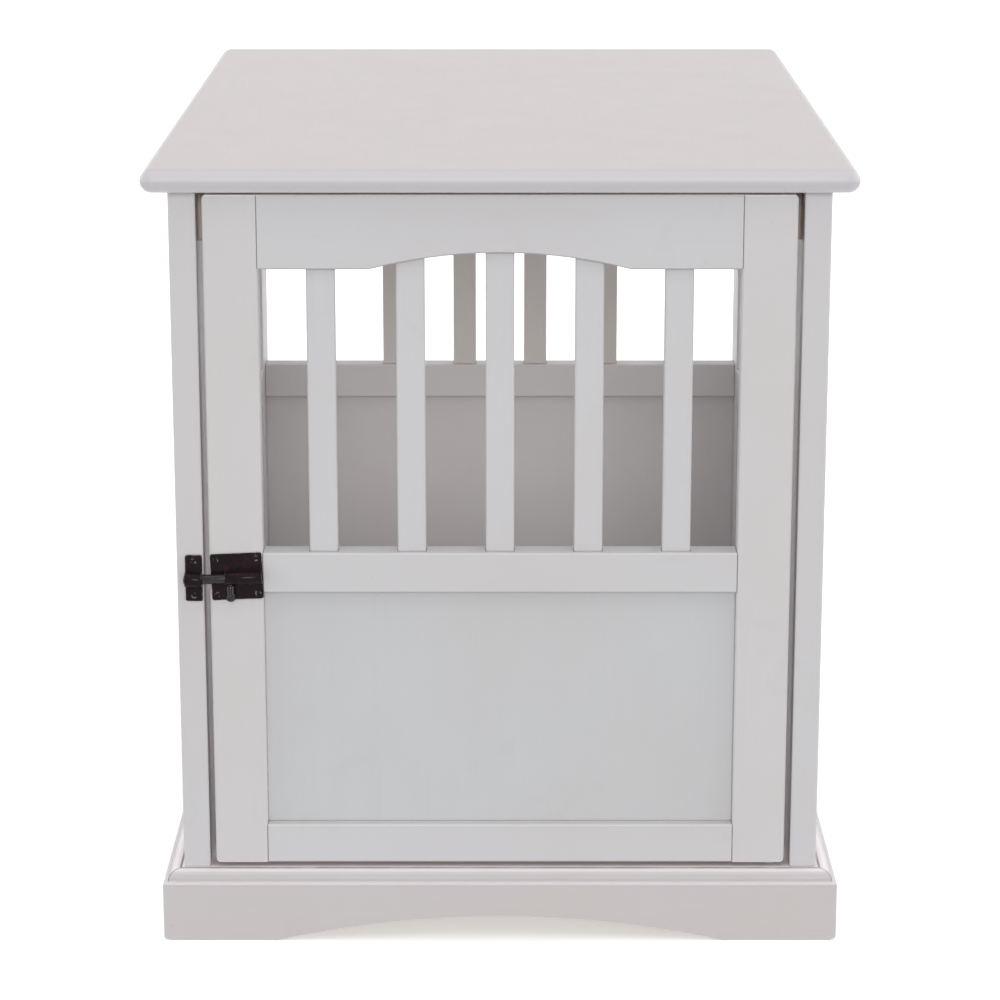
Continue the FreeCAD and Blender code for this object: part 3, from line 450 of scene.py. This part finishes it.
# Stage: the photograph's camera place, tipped down, with a small shift.
CAMERA_PLACE = (0.0, -2.2148, 0.818)
CAMERA_DIP = 14.12
CAMERA_LENS = 113.2
CAMERA_SENSOR = 36.0
CAMERA_SHIFT = -0.06

# The ground is white where it is seen, and a dim, faintly glowing grey where it only lights.
GROUND_HALF_SIZE = 30.0
GROUND_DROP = 0.0003
GROUND_WHITES = ((0.90, 0.90, 0.90, 1.0), (0.92, 0.92, 0.92, 1.0))
GROUND_GREY = (0.2, 0.2, 0.2, 1.0)
GROUND_GLOW = 0.28
GROUND_GLOW_SEEN = 0.35

WHITE = (1.0, 1.0, 1.0, 1.0)
SKY_LIGHT = 0.42
SKY_SEEN = 1.0

# Direction, strength and spread in degrees of each distant lamp.
SUNS = {
    "front_light": ((-0.04, 1.0, -0.32), 1.16, 18.0),
    "top_light": ((-0.1, 0.15, -1.0), 0.8, 70.0),
    "left_light": ((1.0, 0.15, -0.2), 0.9, 50.0),
    "right_light": ((-1.0, 0.15, -0.2), 1.1, 50.0),
    "rear_left_light": ((0.8, -0.8, -0.15), 1.15, 50.0),
    "rear_right_light": ((-0.8, -0.8, -0.15), 1.15, 50.0),
}
FILL_PLACE = (0.0, 0.0, 0.3)
FILL_WATTS = 0.355
FILL_RADIUS = 0.1


def seen_directly(tree):
    """1 for the rays that see a thing: from the camera, in a gloss or through glass."""
    path = tree.nodes.new("ShaderNodeLightPath")
    shown = path.outputs["Is Camera Ray"]
    for kind in ("Is Glossy Ray", "Is Transmission Ray"):
        either = tree.nodes.new("ShaderNodeMath")
        either.operation = "MAXIMUM"
        tree.links.new(shown, either.inputs[0])
        tree.links.new(path.outputs[kind], either.inputs[1])
        shown = either.outputs[0]
    return shown


def stand(name, data):
    """Adds an object to the scene."""
    thing = bpy.data.objects.new(name, data)
    bpy.context.collection.objects.link(thing)
    return thing


def make_camera():
    data = bpy.data.cameras.new("camera")
    data.lens = CAMERA_LENS
    data.sensor_width = CAMERA_SENSOR
    data.shift_y = CAMERA_SHIFT
    data.clip_start = 0.05
    data.clip_end = 100.0
    camera = stand("camera", data)
    camera.location = CAMERA_PLACE
    camera.rotation_euler = (math.radians(90.0 - CAMERA_DIP), 0.0, 0.0)
    bpy.context.scene.camera = camera


def make_floor():
    """The ground, which also takes the object's shadow."""
    mesh = bpy.data.meshes.new("floor")
    shape = bmesh.new()
    bmesh.ops.create_grid(shape, x_segments=1, y_segments=1, size=GROUND_HALF_SIZE)
    shape.to_mesh(mesh)
    shape.free()
    floor = stand("floor", mesh)
    floor.location.z = -GROUND_DROP
    m = Nodes("floor_white")
    cloud = m.noise(m.coordinates(EVEN), 3.0, 2.0)
    seen = seen_directly(m.tree)
    white = m.mix(m.ramp(cloud, 0.3, 0.7), *GROUND_WHITES)
    m.link(m.mix(seen, GROUND_GREY, white), m.shader.inputs["Base Color"])
    m.shader.inputs["Roughness"].default_value = 0.9
    m.shader.inputs["Specular IOR Level"].default_value = 0.1
    m.shader.inputs["Emission Color"].default_value = WHITE
    glow = m.ramp(seen, 0.0, 1.0, GROUND_GLOW, GROUND_GLOW_SEEN)
    m.link(glow, m.shader.inputs["Emission Strength"])
    mesh.materials.append(m.material)


def make_sky():
    """White all round, and weaker as a light than it looks."""
    world = bpy.data.worlds.new("studio")
    bpy.context.scene.world = world
    world.use_nodes = True
    tree = world.node_tree
    tree.nodes.clear()
    output = tree.nodes.new("ShaderNodeOutputWorld")
    choose = tree.nodes.new("ShaderNodeMixShader")
    tree.links.new(seen_directly(tree), choose.inputs[0])
    for socket, strength in ((choose.inputs[1], SKY_LIGHT), (choose.inputs[2], SKY_SEEN)):
        background = tree.nodes.new("ShaderNodeBackground")
        background.inputs["Color"].default_value = WHITE
        background.inputs["Strength"].default_value = strength
        tree.links.new(background.outputs[0], socket)
    tree.links.new(choose.outputs[0], output.inputs["Surface"])


def make_sun(name, direction, strength, spread):
    """A soft distant lamp shining along a direction."""
    data = bpy.data.lights.new(name, "SUN")
    data.energy = strength
    data.angle = math.radians(spread)
    lamp = stand(name, data)
    lamp.rotation_mode = "QUATERNION"
    lamp.rotation_quaternion = Vector(direction).to_track_quat("-Z", "Y")


def make_inside_fill():
    """A weak soft lamp in the middle of the crate, in place of light off its white walls."""
    data = bpy.data.lights.new("inside_fill", "POINT")
    data.energy = FILL_WATTS
    data.shadow_soft_size = FILL_RADIUS
    lamp = stand("inside_fill", data)
    lamp.location = FILL_PLACE
    lamp.visible_camera = False
    lamp.visible_glossy = False


make_camera()
make_floor()
make_sky()
for name, settings in SUNS.items():
    make_sun(name, *settings)
make_inside_fill()

bpy.context.scene.view_settings.view_transform = "Standard"
